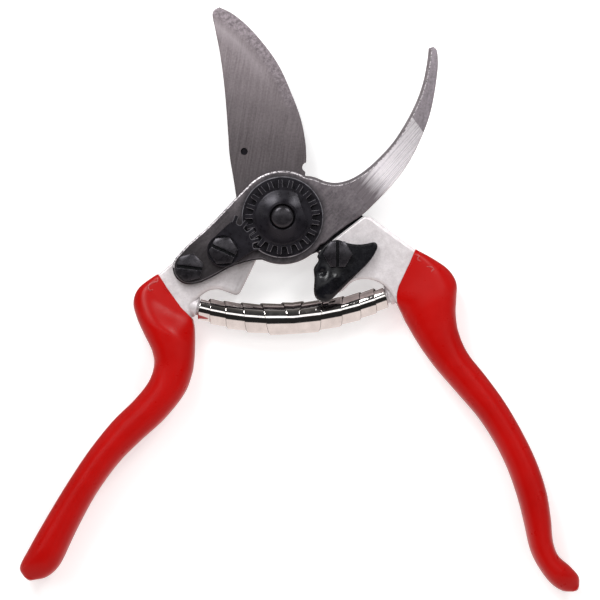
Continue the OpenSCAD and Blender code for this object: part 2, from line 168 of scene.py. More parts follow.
def counter_clockwise(outline):
    points = [p for p, _ in outline]
    area = sum(a.x * b.y - b.x * a.y for a, b in zip(points, points[1:] + points[:1]))
    return outline if area > 0 else outline[::-1]


def inset(points, widths):
    """The loop moved inwards, each point by its own width."""
    n, out = len(points), []
    for i, p in enumerate(points):
        before = (p - points[i - 1]).normalized()
        after = (points[(i + 1) % n] - p).normalized()
        na, nb = Vector((-before.y, before.x)), Vector((-after.y, after.x))
        mitre = na + nb
        mitre = mitre.normalized() if mitre.length > 1e-4 else na
        out.append(p + mitre * widths[i] / max(mitre.dot(na), 0.45))
    return out


# -------- edge shapes: rows of (inset, drop) from the wall to the face
def rounded(width, depth=None, rows=5):
    """A quarter of an ellipse."""
    depth = width if depth is None else depth
    angles = [math.pi / 2 * k / rows for k in range(rows + 1)]
    return [(width * (1 - math.cos(a)), depth * (1 - math.sin(a))) for a in angles]


def chamfered(width, depth, rows=5):
    """A flat chamfer with its two corners just broken."""
    return [(width * k / rows, depth * (1 - k / rows)) for k in range(rows + 1)]


def lipped(width, depth, lip):
    """A flat chamfer and a narrow strip of the face above it."""
    return [(width * k / 4, depth * (1 - k / 4) + 0.02) for k in range(5)] + [(width + lip, 0)]


def edge_rows(outline, shapes, soften):
    """Each point's rows, blended along the outline where one edge shape meets the next."""
    rows = []
    for p, tag in outline:
        shape = shapes[tag](p) if callable(shapes[tag]) else shapes[tag]
        rows.append([list(r) for r in shape])
    n = len(rows)
    for _ in range(soften):
        rows = [[[(rows[i - 1][k][c] + 2 * rows[i][k][c] + rows[(i + 1) % n][k][c]) / 4 for c in (0, 1)]
                 for k in range(len(rows[i]))] for i in range(n)]
    return rows


# -------- meshes
def to_object(name, bm, materials, sharp=32, weighted=True):
    """Turns a bmesh in mm into an object in metres with clean normals."""
    bmesh.ops.remove_doubles(bm, verts=bm.verts, dist=1e-4)
    bmesh.ops.dissolve_degenerate(bm, edges=bm.edges, dist=1e-4)
    bmesh.ops.recalc_face_normals(bm, faces=bm.faces)
    bmesh.ops.scale(bm, vec=(MM, MM, MM), verts=bm.verts)
    mark_smooth(bm, sharp)
    mesh = bpy.data.meshes.new(name)
    bm.to_mesh(mesh)
    bm.free()
    for m in materials:
        mesh.materials.append(m)
    obj = bpy.data.objects.new(name, mesh)
    show(obj)
    if weighted:
        weigh(obj)
    return obj


def show(obj):
    bpy.context.scene.collection.objects.link(obj)


def mark_smooth(bm, sharp):
    limit = math.radians(sharp)
    for f in bm.faces:
        f.smooth = True
    for e in bm.edges:
        e.smooth = len(e.link_faces) == 2 and e.calc_face_angle(0) < limit


def weigh(obj):
    """Large flat faces keep their normals next to rounded edges."""
    m = obj.modifiers.new("normals", "WEIGHTED_NORMAL")
    m.keep_sharp = True
    m.weight = 80


def bevelled(obj, width, segments=3, angle=32, paint=-1):
    """Breaks every sharp edge; the width is in mm, and paint is the material number of the broken edge."""
    m = obj.modifiers.new("edges", "BEVEL")
    m.width, m.segments, m.limit_method, m.angle_limit = width * MM, segments, "ANGLE", math.radians(angle)
    m.use_clamp_overlap, m.material = True, paint
    return baked(obj)


def baked(obj, sharp=32):
    """Applies an object's modifiers and leaves only the normal weighting."""
    dg = bpy.context.evaluated_depsgraph_get()
    mesh = bpy.data.meshes.new_from_object(obj.evaluated_get(dg))
    obj.modifiers.clear()
    obj.data = mesh
    bm = bmesh.new()
    bm.from_mesh(mesh)
    bmesh.ops.remove_doubles(bm, verts=bm.verts, dist=2e-7)
    mark_smooth(bm, sharp)
    bm.to_mesh(mesh)
    bm.free()
    weigh(obj)
    return obj


def boolean(obj, other, operation="DIFFERENCE"):
    """Cuts, joins or crosses obj with other, and removes other."""
    for o in (obj, other):
        o.modifiers.clear()
    m = obj.modifiers.new("cut", "BOOLEAN")
    m.object, m.operation, m.solver = other, operation, "EXACT"
    baked(obj)
    bpy.data.objects.remove(other)
    return obj


def skin(bm, rings):
    """Quads between rings of the same size, with closed ends; returns the quads of each step."""
    made = [[bm.verts.new(p) for p in ring] for ring in rings]
    n = len(made[0])
    faces = []
    for a, b in zip(made, made[1:]):
        faces.append([bm.faces.new((a[k], a[(k + 1) % n], b[(k + 1) % n], b[k])) for k in range(n)])
    bm.faces.new(made[0][::-1])
    bm.faces.new(made[-1])
    return faces


def plate(name, outline, low, high, top, bottom, materials, soften=2, paint=None, raw=False):
    """Flat plate with its own edge shape along each stretch.

    paint gives a stretch the material numbers of its wall and of each row up to the top face."""
    loop = counter_clockwise(thinned(outline))
    points = [p for p, _ in loop]
    under, over = edge_rows(loop, bottom, soften), edge_rows(loop, top, soften)
    rings = []
    for k in reversed(range(len(under[0]))):
        ring = inset(points, [r[k][0] for r in under])
        rings.append([(p.x, p.y, low + r[k][1]) for p, r in zip(ring, under)])
    wall = len(rings) - 1
    for k in range(len(over[0])):
        ring = inset(points, [r[k][0] for r in over])
        rings.append([(p.x, p.y, high - r[k][1]) for p, r in zip(ring, over)])
    bm = bmesh.new()
    faces = skin(bm, rings)
    for row, strip in enumerate(faces[wall:]):
        for (_, tag), face in zip(loop, strip):
            if paint and tag in paint:
                face.material_index = paint[tag][row]
    return bm if raw else to_object(name, bm, materials)


def lathe(name, profile, centre, materials, segments=96, sharp=32, paint=0):
    """A turned piece: profile is (radius, level) from its lower axis point to its upper one, in mm."""
    bm = bmesh.new()
    rings = []
    for r, z in profile:
        angles = [2 * math.pi * k / segments for k in range(segments if r > 1e-6 else 1)]
        rings.append([bm.verts.new((centre[0] + r * math.cos(a), centre[1] + r * math.sin(a), z))
                      for a in angles])
    for a, b in zip(rings, rings[1:]):
        for k in range(segments):
            corners = [a[k % len(a)], a[(k + 1) % len(a)], b[(k + 1) % len(b)], b[k % len(b)]]
            corners = [v for i, v in enumerate(corners) if v not in corners[:i]]
            if len(corners) > 2:
                bm.faces.new(corners).material_index = paint
    return to_object(name, bm, materials, sharp)


def prism(name, points, low, high, materials=(), paint=0):
    """Plain straight-sided block, used to cut others or joined to them."""
    bm = bmesh.new()
    skin(bm, [[(p[0], p[1], z) for p in points] for z in (low, high)])
    for f in bm.faces:
        f.material_index = paint
    return to_object(name, bm, materials, weighted=False)


def polygon_points(centre, radius, sides, turn):
    return [tuple(p) for p in arc(centre, radius, turn, turn + 360 - 360 / sides, sides - 1)]


def bar_points(centre, length, width, turn):
    """Corners of a rectangle turned about its centre."""
    a = math.radians(turn)
    u, v = Vector((math.cos(a), math.sin(a))) * length / 2, Vector((-math.sin(a), math.cos(a))) * width / 2
    c = Vector(centre)
    return [tuple(c - u - v), tuple(c + u - v), tuple(c + u + v), tuple(c - u + v)]


# -------- materials
class Finish:
    """Small helper that builds one node material."""

    def __init__(self, name, colour, metallic, roughness):
        self.material = bpy.data.materials.new(name)
        self.material.use_nodes = True
        self.tree = self.material.node_tree
        self.shader = self.tree.nodes["Principled BSDF"]
        self.shader.inputs["Base Color"].default_value = (*colour, 1)
        self.shader.inputs["Metallic"].default_value = metallic
        self.shader.inputs["Roughness"].default_value = roughness
        self.place = self.node("ShaderNodeTexCoord").outputs["Object"]
        self.height = None

    def node(self, kind, **settings):
        n = self.tree.nodes.new(kind)
        for key, value in settings.items():
            if hasattr(n, key):
                setattr(n, key, value)
            else:
                n.inputs[key].default_value = value
        return n

    def link(self, a, b):
        self.tree.links.new(a, b)

    def stretched(self, scale, turn=0):
        """Object coordinates turned about Z, then scaled, in periods per metre."""
        spin = self.node("ShaderNodeMapping")
        spin.inputs["Rotation"].default_value = (0, 0, math.radians(turn))
        stretch = self.node("ShaderNodeMapping")
        stretch.inputs["Scale"].default_value = scale
        self.link(self.place, spin.inputs["Vector"])
        self.link(spin.outputs["Vector"], stretch.inputs["Vector"])
        return stretch.outputs["Vector"]

    def noise(self, scale, detail=3, turn=0, roughness=0.55):
        """Noise with one scale, or with its own scale along each axis."""
        scale = scale if isinstance(scale, tuple) else (scale,) * 3
        n = self.node("ShaderNodeTexNoise", Scale=1.0, Detail=detail, Roughness=roughness)
        self.link(self.stretched(scale, turn), n.inputs["Vector"])
        return n.outputs["Fac"]

    def across(self, direction):
        """Place along a direction, in metres from the pivot."""
        dot = self.node("ShaderNodeVectorMath", operation="DOT_PRODUCT")
        dot.inputs[1].default_value = direction
        self.link(self.place, dot.inputs[0])
        return dot.outputs["Value"]

    def away(self, centre):
        """Distance from a point of the plan, in metres."""
        flat = self.node("ShaderNodeVectorMath", operation="MULTIPLY")
        flat.inputs[1].default_value = (1, 1, 0)
        self.link(self.place, flat.inputs[0])
        reach = self.node("ShaderNodeVectorMath", operation="DISTANCE")
        reach.inputs[1].default_value = (centre[0] * MM, centre[1] * MM, 0)
        self.link(flat.outputs["Vector"], reach.inputs[0])
        return reach.outputs["Value"]

    def over(self, colour, mask):
        """Lays a second colour, or another socket's colour, over the base where the mask is 1."""
        m = self.node("ShaderNodeMix", data_type="RGBA")
        base = self.shader.inputs["Base Color"]
        self.link(base.links[0].from_socket, m.inputs["A"])
        if isinstance(colour, tuple):
            m.inputs["B"].default_value = (*colour, 1)
        else:
            self.link(colour, m.inputs["B"])
        self.link(mask, m.inputs["Factor"])
        self.link(m.outputs["Result"], base)
        return self

    def graded(self, direction, stops):
        """Painted light and shade: the base colour times a factor that changes along a direction; stops are
        (mm, factor).
        """
        first, last = stops[0][0], stops[-1][0]
        share = self.spread(self.across(direction), 0, 1, first * MM, last * MM)
        ramp = self.node("ShaderNodeValToRGB")
        ramp.color_ramp.interpolation = "EASE"
        while len(ramp.color_ramp.elements) < len(stops):
            ramp.color_ramp.elements.new(0.5)
        for element, (at, factor) in zip(ramp.color_ramp.elements, stops):
            element.position = (at - first) / (last - first)
            element.color = (factor / 2, factor / 2, factor / 2, 1)
        self.link(share, ramp.inputs["Fac"])
        scaled = self.node("ShaderNodeVectorMath", operation="MULTIPLY")
        self.link(ramp.outputs["Color"], scaled.inputs[0])
        scaled.inputs[1].default_value = (2, 2, 2)
        product = self.node("ShaderNodeVectorMath", operation="MULTIPLY")
        base = self.shader.inputs["Base Color"]
        self.link(base.links[0].from_socket, product.inputs[0])
        self.link(scaled.outputs["Vector"], product.inputs[1])
        self.link(product.outputs["Vector"], base)
        return self

    def spread(self, value, low, high, start=0.3, end=0.7):
        """Maps a noise to low..high."""
        m = self.node("ShaderNodeMapRange")
        for key, v in (("From Min", start), ("From Max", end), ("To Min", low), ("To Max", high)):
            m.inputs[key].default_value = v
        self.link(value, m.inputs["Value"])
        return m.outputs["Result"]

    def math(self, operation, a, b):
        n = self.node("ShaderNodeMath", operation=operation)
        for socket, value in zip(n.inputs, (a, b)):
            if isinstance(value, (int, float)):
                socket.default_value = value
            else:
                self.link(value, socket)
        return n.outputs[0]

    def tint(self, dark, light, factor):
        """Base colour between two colours by a factor."""
        m = self.node("ShaderNodeMix", data_type="RGBA")
        m.inputs["A"].default_value, m.inputs["B"].default_value = (*dark, 1), (*light, 1)
        self.link(factor, m.inputs["Factor"])
        self.link(m.outputs["Result"], self.shader.inputs["Base Color"])
        return self

    def rough(self, value):
        self.link(value, self.shader.inputs["Roughness"])
        return self

    def bump(self, value, distance, strength=1.0):
        """Adds relief; the distance is in mm."""
        b = self.node("ShaderNodeBump", Strength=strength, Distance=distance * MM)
        self.link(value, b.inputs["Height"])
        if self.height is not None:
            self.link(self.height, b.inputs["Normal"])
        self.height = b.outputs["Normal"]
        self.link(self.height, self.shader.inputs["Normal"])
        return self


def tone(r, g, b):
    """Linear colour from the usual 0 to 255 scale."""
    return tuple(c / 255 / 12.92 if c < 11 else ((c / 255 + 0.055) / 1.055) ** 2.4 for c in (r, g, b))


def red_sleeve(name="red_sleeve", specular=0.14):
    f = Finish(name, tone(180, 12, 8), 0, 0.3)
    f.tint(tone(167, 6, 3), tone(179, 12, 9), f.spread(f.noise(60, 3), 0, 1))
    f.rough(f.spread(f.noise(260, 4), 0.26, 0.36))
    f.bump(f.noise(1300, 2), 0.03, 0.3).bump(f.noise(140, 2), 0.2, 0.3)
    f.shader.inputs["Specular IOR Level"].default_value = specular
    return f.material


def cast_aluminium():
    """Rough casting, with painted shade beside the pivot and painted light towards the handles' far ends.
    """
    f = Finish("cast_aluminium", tone(215, 211, 213), 0.4, 0.45)
    clouds = f.spread(f.noise(520, 6, roughness=0.85), 0, 1, 0.36, 0.64)
    f.tint(tone(198, 192, 194), tone(221, 216, 218), clouds)
    f.rough(f.spread(f.noise(420, 4), 0.36, 0.52))
    f.bump(f.noise(1700, 3), 0.06, 0.6).bump(f.noise(300, 3), 0.1, 0.25)
    # painted shade and light along the handles: darkest beside the pivot, lightest at the far left
    stops = ((-34, 1.26), (-18, 1.06), (-8, 0.78), (0, 0.85), (10, 1.04), (45, 1.08))
    return f.graded((0.9, -0.2, 0), stops).material


def satin_steel(name, dark, light, turn, metallic=0.6, rough=(0.3, 0.44), along=40, across=1500,
                speckle=0.2):
    """Steel with lengthwise grinding lines; turn is how far the lines lean from the Y axis."""
    f = Finish(name, light, metallic, rough[0])
    lines = f.noise((across, along, across), 4, turn, 0.7)
    grain = f.noise(1500, 3)
    mixed = f.math("ADD", f.math("MULTIPLY", lines, 1 - speckle), f.math("MULTIPLY", grain, speckle))
    f.tint(dark, light, f.spread(mixed, 0, 1, 0.38, 0.62))
    f.rough(f.spread(lines, *rough))
    f.bump(mixed, 0.02, 0.5)
    return f


def circle_through(a, b, c):
    """Centre and radius of the circle through three points."""
    a, b, c = Vector(a), Vector(b), Vector(c)
    d = 2 * (a.x * (b.y - c.y) + b.x * (c.y - a.y) + c.x * (a.y - b.y))
    x = (a.dot(a) * (b.y - c.y) + b.dot(b) * (c.y - a.y) + c.dot(c) * (a.y - b.y)) / d
    y = (a.dot(a) * (c.x - b.x) + b.dot(b) * (a.x - c.x) + c.dot(c) * (b.x - a.x)) / d
    return Vector((x, y)), (Vector((x, y)) - a).length


def blade_steel():
    """Ground plate; a speckled honed strip follows the cutting edge and dies out near the pivot."""
    f = satin_steel("blade_steel", tone(106, 98, 101), tone(126, 118, 121), 9, along=70, across=2300,
                    speckle=0.4)
    centre, radius = circle_through((-19, 67.9), (-5.7, 55.9), (7.2, 26))
    grain = f.noise(1000, 4, roughness=0.7)
    wander = f.math("MULTIPLY", f.math("SUBTRACT", f.noise(420, 3), 0.5), 0.0022)
    depth = f.math("ADD", f.away(centre), wander)
    strip = f.spread(depth, 0, 1, (radius - 4.4) * MM, (radius - 2.9) * MM)
    ends = f.spread(f.across((0, 1, 0)), 0, 1, 0.031, 0.038)
    speckle = f.node("ShaderNodeMix", data_type="RGBA")
    speckle.inputs["A"].default_value = (*tone(88, 81, 85), 1)
    speckle.inputs["B"].default_value = (*tone(142, 133, 138), 1)
    f.link(f.spread(grain, 0, 1, 0.36, 0.64), speckle.inputs["Factor"])
    f.over(speckle.outputs["Result"], f.math("MULTIPLY", f.math("MULTIPLY", strip, ends), 0.8))
    # painted highlight: a soft light streak a few mm inside the cutting edge, on the upper part of the
    # blade
    ridge = f.math("MULTIPLY", f.spread(f.away(centre), 0, 1, (radius - 9.5) * MM, (radius - 6) * MM),
                   f.spread(f.away(centre), 1, 0, (radius - 6) * MM, (radius - 4.2) * MM))
    high = f.spread(f.across((0, 1, 0)), 0, 0.5, 0.036, 0.058)
    f.over(tone(152, 144, 148), f.math("MULTIPLY", ridge, high))
    # painted shade and light: darker towards the pivot, lighter towards the tip
    stops = ((10, 0.6), (20, 0.66), (32, 0.92), (40, 1.18), (48, 1.42), (60, 1.56), (68, 1.56))
    return f.graded((0.25, 1, 0), stops).material


def blade_honed():
    f = satin_steel("blade_honed", tone(104, 97, 102), tone(158, 149, 155), 8, along=900, across=1100,
                    speckle=0.8)
    # painted shade and light: darker towards the pivot, lighter towards the tip
    return f.graded((0.25, 1, 0), ((10, 0.7), (32, 0.88), (48, 1.2), (68, 1.5))).material


def hook_steel():
    """Ground plate with a painted shadow and grease round the nut, and painted shade towards the end of the
    tang.
    """
    f = satin_steel("hook_steel", tone(92, 86, 90), tone(122, 115, 119), 42, along=150, across=900,
                    speckle=0.45)
    # painted shadow of the nut, with grease, as a dark ring round it
    f.over(tone(30, 28, 32), f.spread(f.away((0, 0)), 0.85, 0, 0.0128, 0.015))
    # painted light and shade across the plate, darkest towards the end of the tang
    stops = ((-32, 0.2), (-24, 0.27), (-18, 0.53), (-11, 0.48), (0, 0.95), (5, 1), (10.5, 0.84),
             (16.5, 1.18), (40, 1.25))
    return f.graded((0.5, 0.87, 0), stops).material


def hook_ground():
    """Freshly ground stretch that fades in streaks into the darker steel below it."""
    f = satin_steel("hook_ground", tone(222, 216, 221), tone(248, 243, 247), 41, 0.35, (0.22, 0.34), 26,
                    2400, 0.35)
    # painted shade: darker towards the tip of the hook
    f.graded((0.57, 0.82, 0), ((18, 1), (32, 0.96), (38, 0.84), (44, 0.7), (51, 0.60)))
    streaks = f.noise((1900, 60, 1900), 3, 41, 0.6)
    wander = f.math("MULTIPLY", f.math("SUBTRACT", streaks, 0.5), 0.009)
    reach = f.math("ADD", f.across((0.72, 0.69, 0)), wander)
    return f.over(tone(112, 105, 109), f.spread(reach, 1, 0, 0.0262, 0.0325)).material


def hook_facet():
    f = satin_steel("hook_facet", tone(122, 115, 120), tone(152, 144, 150), 10, along=120, speckle=0.5)
    # painted light: lighter towards the tip
    return f.graded((0.1, 1, 0), ((28, 0.92), (50, 1.05), (58, 1.25))).material


def hook_chamfer():
    f = satin_steel("hook_chamfer", tone(122, 116, 119), tone(150, 143, 147), 45, along=200)
    # painted shade and light: darker near the pivot, lighter towards the tip
    return f.graded((0.4, 0.9, 0), ((8, 0.8), (30, 0.95), (50, 1.3))).material


def edge_highlight_and_wear():
    # painted highlight along the hook's edges, with speckled wear
    dark, light = tone(96, 91, 94), tone(226, 220, 224)
    return satin_steel("edge_highlight_and_wear", dark, light, 0, 0.4, (0.2, 0.4), 1500, 1500, 0.5).material


def black_steel(name, dark, light, rough, metallic=0.5, fine=700):
    """Blackened or coated steel with a slightly uneven skin."""
    f = Finish(name, dark, metallic, rough[0])
    f.tint(dark, light, f.spread(f.noise(300, 4, roughness=0.65), 0, 1))
    f.rough(f.spread(f.noise(600, 3), *rough))
    f.bump(f.noise(fine, 3), 0.03, 0.4)
    f.shader.inputs["Specular IOR Level"].default_value = 0.32
    return f.material


def bright_spring():
    f = Finish("spring_chrome", (0.78, 0.74, 0.72), 1, 0.06)
    f.tint((0.72, 0.68, 0.66), (0.84, 0.80, 0.78), f.spread(f.noise((300, 120, 300), 3), 0, 1))
    f.rough(f.spread(f.noise((700, 300, 700), 4), 0.04, 0.12))
    f.bump(f.noise((500, 90, 500), 2), 0.006, 0.3)
    return f.material


def turned_metal(name, dark, light, rough):
    f = Finish(name, light, 1, rough[0])
    f.tint(dark, light, f.spread(f.noise((900, 900, 300), 3), 0, 1))
    f.rough(f.spread(f.noise((1500, 1500, 500), 3), *rough))
    f.bump(f.noise((1800, 1800, 600), 3), 0.02, 0.4)
    return f.material


def rubber():
    f = Finish("black_rubber", (0.02, 0.02, 0.02), 0, 0.75)
    f.tint((0.012, 0.012, 0.012), (0.03, 0.03, 0.03), f.spread(f.noise(600, 3), 0, 1))
    f.bump(f.noise(1800, 2), 0.05, 0.5)
    return f.material


RED = red_sleeve()
RED_FOLD = red_sleeve("red_sleeve_fold", 1.0)
ALU = cast_aluminium()
BLADE = blade_steel()
HONED = blade_honed()
HOOK = hook_steel()
GROUND = hook_ground()
FACET = hook_facet()
CHAMFER = hook_chamfer()
EDGE_HIGHLIGHT_AND_WEAR = edge_highlight_and_wear()
BLACK = black_steel("black_steel", tone(24, 22, 27), tone(38, 36, 42), (0.24, 0.36))
# lighter copy of the black steel: painted highlight on tooth flanks and the washer's chamfer
BLACK_EDGE_HIGHLIGHT = black_steel("black_steel_edge_highlight", tone(84, 82, 88), tone(150, 148, 154), (0.24, 0.38), 0.6)
SCREW = black_steel("screw_black", tone(36, 34, 38), tone(60, 58, 62), (0.22, 0.34), 0.6, 500)
# lighter copy of the screws' black: painted highlight on their broken edges
SCREW_EDGE_HIGHLIGHT = black_steel("screw_edge_highlight", tone(84, 82, 88), tone(156, 153, 160), (0.24, 0.36), 0.6)
CATCH = black_steel("catch_black", tone(9, 9, 12), tone(19, 19, 24), (0.2, 0.32), 0.1, 900)
CHROME = bright_spring()
# dark copy for the strip's edges: painted shade at the seams between turns
SPRING_SEAM_SHADE = black_steel("spring_seam_shade", tone(40, 36, 36), tone(78, 70, 68), (0.2, 0.3), 0.9)
ZINC = turned_metal("zinc_steel", (0.36, 0.36, 0.37), (0.56, 0.56, 0.57), (0.26, 0.4))
BRONZE = turned_metal("bronze", (0.42, 0.27, 0.12), (0.62, 0.43, 0.2), (0.26, 0.4))
RUBBER = rubber()


# -------- pieces
def place(obj, body, slot, *nodes):
    """Hangs a finished piece on its body in place of the CAD nodes."""
    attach(obj, body)
    if nodes:
        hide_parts(*nodes)
    return obj


def grip(name, outer, inner, side, mouth_z, bulge):
    """Dipped sleeve: squarish at its lip, then rounded, between its two edges."""
    steps, count = 6, 64
    o, i = spline(outer, steps), spline(inner, steps)
    last = len(o) - 1

    def ring(k, share, slide):
        mouth = 1 - smoothstep(k / (3.2 * steps))
        tail = smoothstep((k - last + 2.4 * steps) / (2.4 * steps))
        low = mouth_z[0] * mouth + 4.6 * tail
        high = GRIP_T + (mouth_z[1] - GRIP_T) * mouth - 4.6 * tail
        middle, half = (o[k] + i[k]) / 2, (o[k] - i[k]) / 2
        along = Vector((half.y, -half.x)).normalized() * side
        square = 1 - smoothstep(k / (2.6 * steps))
        wide, tall = 0.84 - 0.58 * square, 0.76 - 0.50 * square
        points = []
        for j in range(count):
            a = 2 * math.pi * (j + 0.5) / count
            c = math.copysign(abs(math.cos(a)) ** wide, math.cos(a))
            s = math.copysign(abs(math.sin(a)) ** tall, math.sin(a))
            lean = bulge[0] * mouth * math.exp(-((c - bulge[1]) / bulge[2]) ** 2) * (1 - c ** 8)
            xy = middle + half * c * share + along * (slide - lean)
            points.append((xy.x, xy.y, (low + high) / 2 + (high - low) / 2 * s * share))
        return points

    rings = [ring(0, share, slide) for share, slide in
             ((0.80, 1.8), (0.90, 0.3), (0.93, 0.06), (0.955, 0.0), (0.978, 0.1), (0.992, 0.28),
              (1.0, 0.55))]
    rings += [ring(k, 1, 0) for k in range(1, last)]
    rings += [ring(last, share, 1.1 * (1 - share)) for share in (1.0, 0.8, 0.55, 0.28)]
    bm = bmesh.new()
    skin(bm, rings)
    return to_object(name, bm, [RED], 60, weighted=False)


def fold(name, points, sleeve, body):
    """Small raised fold that the dipping left on a sleeve, laid on its upper side."""
    bm = bmesh.new()
    bm.from_mesh(sleeve.data)
    skin_tree = BVHTree.FromBMesh(bm)
    bm.free()
    line = spline(points, 8)
    rings = []
    for k, p in enumerate(line):
        share = k / (len(line) - 1)
        width = 0.12 + 0.2 * math.sin(math.pi * share) ** 0.5
        hit = skin_tree.ray_cast(Vector((p.x * MM, p.y * MM, 0.03)), Vector((0, 0, -1)))[0]
        along = (line[min(k + 1, len(line) - 1)] - line[max(k - 1, 0)]).normalized()
        across, z = Vector((-along.y, along.x)), hit.z / MM - 0.06
        angles = [2 * math.pi * j / 12 for j in range(12)]
        rings.append([(p.x + across.x * width * math.cos(a), p.y + across.y * width * math.cos(a),
                       z + width * math.sin(a)) for a in angles])
    bm = bmesh.new()
    skin(bm, rings)
    place(to_object(name, bm, [RED_FOLD], 80, weighted=False), body, "red_sleeve")


def grips():
    left = grip("left_grip_sleeve", LEFT_GRIP_OUTER, LEFT_GRIP_INNER, -1, (2.0, 11.9), (-0.9, -0.1, 0.6))
    place(left, "hook_side", "red_sleeve", "left_grip")
    curl = [(-40.6, -19.6), (-40.6, -20.7), (-41.9, -21.1), (-43.3, -22.0), (-43.6, -23.1), (-42.8, -23.7),
            (-42.0, -23.3)]
    fold("left_grip_fold", curl, left, "hook_side")
    right = grip("right_grip_sleeve", RIGHT_GRIP_OUTER, RIGHT_GRIP_INNER, 1, (1.9, 14.7),
                 (1.1, -0.45, 0.75))
    place(right, "blade_side", "red_sleeve", "right_grip")
    for end, points in (("a", [(42.9, -12.0), (44.2, -12.6), (43.7, -13.6), (44.9, -14.3)]),
                        ("b", [(46.7, -16.0), (48.0, -16.1), (48.8, -16.8), (48.1, -17.7)])):
        fold("right_grip_fold_" + end, points, right, "blade_side")


def bar_outline(outer, inner):
    """Flat bar that runs down inside a grip."""
    middles = [(Vector(a) + Vector(b)) / 2 for a, b in zip(outer, inner)][:11]
    near = [m.lerp(Vector(a), 0.56) for m, a in zip(middles, outer)]
    far = [m.lerp(Vector(b), 0.56) for m, b in zip(middles, inner)]
    return tagged("bar", near + far[::-1])


def spring_angle(t):
    """Direction of the bow at t, from 0 at the left seat to 1 at the right one."""
    chord = SPRING_B - SPRING_A
    radius = bow_radius()
    half = math.asin(chord.length / 2 / radius)
    return math.atan2(chord.y, chord.x) + half * (2 * t - 1)


def bow_radius():
    """Radius of the arc that the middle line of the spring follows."""
    half = (SPRING_B - SPRING_A).length / 2
    return (half * half + SPRING_BOW * SPRING_BOW) / (2 * SPRING_BOW)


def seat_peg(at, angle):
    """Peg and collar that hold one end of the spring."""
    profile = [(0, -3.2), (3.1, -3.2), (3.4, -2.9), (3.4, -0.5), (3.2, -0.2), (2.5, -0.15), (2.5, 3.4),
               (2.1, 3.9), (0, 3.9)]
    peg = lathe("peg", profile, (0, 0), [ALU], 64)
    turn = Vector((0, 0, 1)).rotation_difference(Vector((math.cos(angle), math.sin(angle), 0)))
    for v in peg.data.vertices:
        v.co = turn @ v.co + Vector((at.x * MM, at.y * MM, SPRING_Z * MM))
    return peg


def left_handle():
    loop = tagged("rise", [(-40.3, -18.5), (-35.9, -14.8), (-32.6, -11.5), (-22.9, -3.2), (-20, -0.9)])
    loop += tagged("hidden", arc((0, 0), 15.9, 183, 237, 14))
    loop += tagged("nose", [(-8.6, -13.6), (-10.3, -17.1), (-12.0, -20.6), (-13.5, -23.6)])
    arch = [(-13.9, -24.4), (-14.7, -25.0), (-15.7, -25.1), (-18.1, -24.2), (-21.2, -23.3),
            (-24.3, -23.9), (-26.8, -25.5), (-28.9, -27.7), (-29.9, -30.4), (-29.7, -32.6)]
    loop += tagged("arch", spline(arch, 4))
    loop += tagged("hidden", [(-31.0, -34.0), (-41.5, -20.3)])
    shapes = {"rise": rounded(0.8), "hidden": rounded(0.3), "nose": rounded(0.8), "arch": rounded(1.5, 1.3)}
    body = plate("left_handle_forging", loop, HANDLE_Z, HOOK_Z, shapes, shapes, [ALU], soften=3)
    edge = {"bar": rounded(0.8)}
    bar = plate("bar", bar_outline(LEFT_GRIP_OUTER, LEFT_GRIP_INNER), 4, 9.5, edge, edge, [ALU], 0)
    boolean(body, bar, "UNION")
    boolean(body, seat_peg(SPRING_A, spring_angle(0)), "UNION")
    place(body, "hook_side", "cast_aluminium", "left_handle")


def right_handle():
    loop = tagged("shoulder", [(12.2, -11), (16.8, -7.4), (21.6, -3.5), (26.4, 0.3)])
    loop += tagged("ridge", [(28.5, 0.1), (33.3, -3.3), (38.1, -6.8), (42.7, -10.3)])
    loop += tagged("hidden", [(44.2, -12.4), (38.8, -28.4)])
    arch = [(37.3, -27.7), (36.5, -26.7), (34.7, -24), (32.8, -21.9), (30.4, -20.6), (27.4, -20),
            (24.3, -20.3), (21.8, -21.6), (20.2, -23.3), (18.4, -24.4)]
    loop += tagged("arch", spline(arch, 4))
    loop += tagged("arch", [(17.6, -23.4), (14.7, -18.45), (11.8, -13.5)])
    shapes = {"shoulder": rounded(0.5), "ridge": lipped(1.0, 0.5, 0.3), "hidden": rounded(0.3),
              "arch": rounded(0.9)}
    body = plate("right_handle_forging", loop, HANDLE_Z, SHOULDER_Z, shapes, shapes, [ALU], soften=1)
    head_profile = [(0, HANDLE_Z), (HEAD_R - 0.6, HANDLE_Z), (HEAD_R - 0.18, HANDLE_Z + 0.18),
                    (HEAD_R, HANDLE_Z + 0.6), (HEAD_R, BLADE_Z - 0.2), (HEAD_R - 0.2, BLADE_Z),
                    (0, BLADE_Z)]
    boolean(body, lathe("head", head_profile, (0, 0), [ALU], 128), "UNION")
    web = [(2, 0), (12.2, -11), (22, -9), (20, -19), (15.4, -18), (13.6, -13.9), (11.3, -11.3), (0, -8)]
    boolean(body, prism("web", web, HANDLE_Z + 0.01, BLADE_Z - 0.01), "UNION")
    edge = {"bar": rounded(0.8)}
    bar = plate("bar", bar_outline(RIGHT_GRIP_OUTER, RIGHT_GRIP_INNER), 4, 10.5, edge, edge, [ALU], 0)
    boolean(body, bar, "UNION")
    boolean(body, seat_peg(SPRING_B, spring_angle(1) + math.pi), "UNION")
    place(body, "blade_side", "cast_aluminium", "right_handle")


